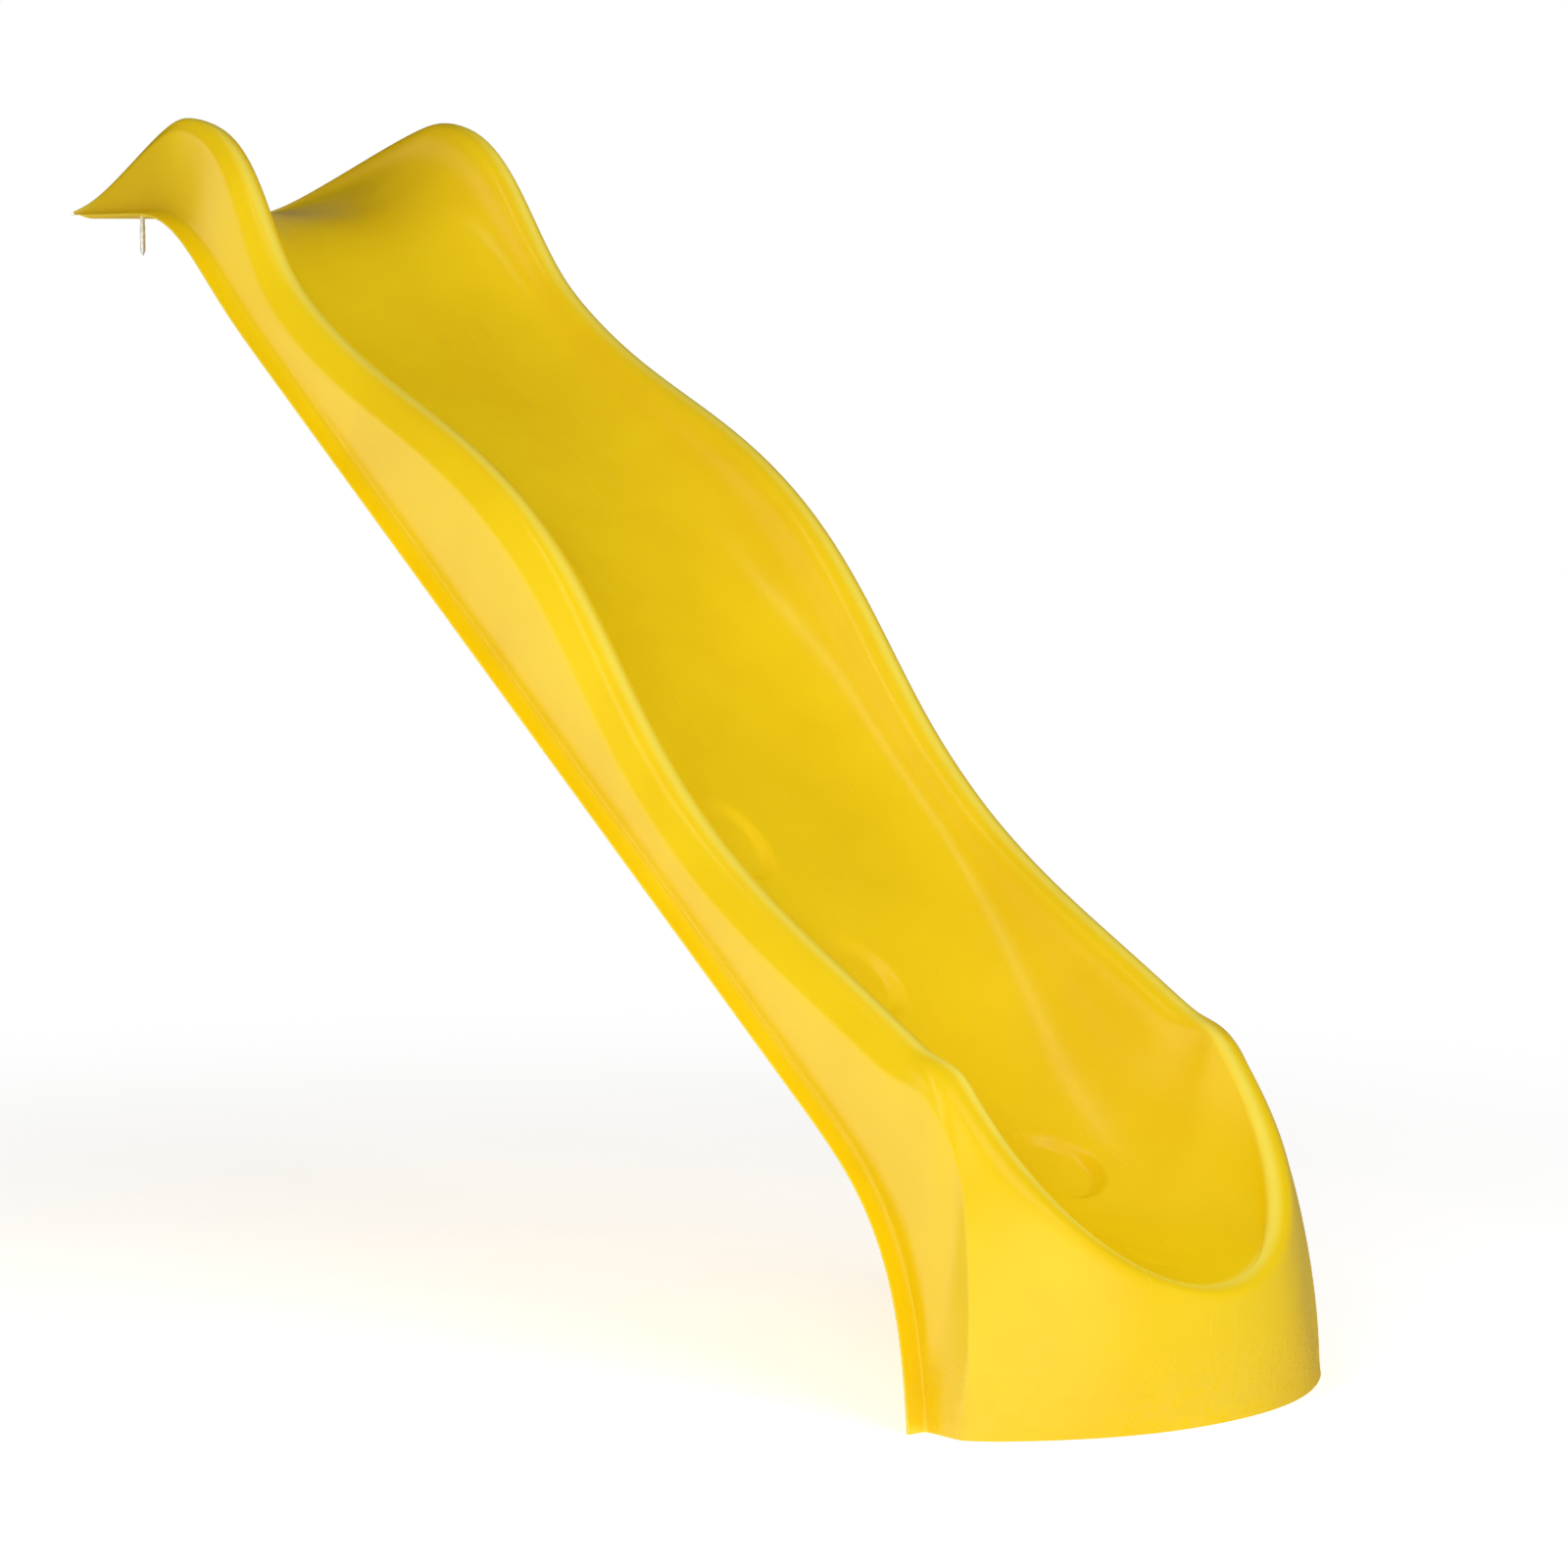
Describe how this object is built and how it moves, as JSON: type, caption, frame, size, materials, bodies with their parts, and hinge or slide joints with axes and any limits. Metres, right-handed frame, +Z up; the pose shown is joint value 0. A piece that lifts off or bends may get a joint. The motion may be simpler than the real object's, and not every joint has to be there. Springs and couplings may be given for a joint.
{
  "type": "wave slide",
  "caption": "One-piece moulded playground slide with a wavy trough, rolled rims, raised ears at the deck lip and a flared foot with a scooped exit.",
  "frame": {"origin": "centre of the bounding box in plan, on the ground under the slide", "axes": "+Z up, +Y from the exit towards the deck, +X to the slider's left when sitting on it and looking down the slide"},
  "size_m": [0.716, 2.216, 1.672],
  "materials": {
    "slide_plastic": "glossy moulded polyethylene",
    "washer_steel": "zinc plated",
    "screw_steel": "zinc plated"
  },
  "bodies": {
    "root": {"slide_body": "slide_plastic", "washer_left": "washer_steel", "washer_centre": "washer_steel", "washer_right": "washer_steel", "deck_screw_left": "screw_steel", "deck_screw_centre": "screw_steel", "deck_screw_right": "screw_steel"}
  },
  "joints": []
}
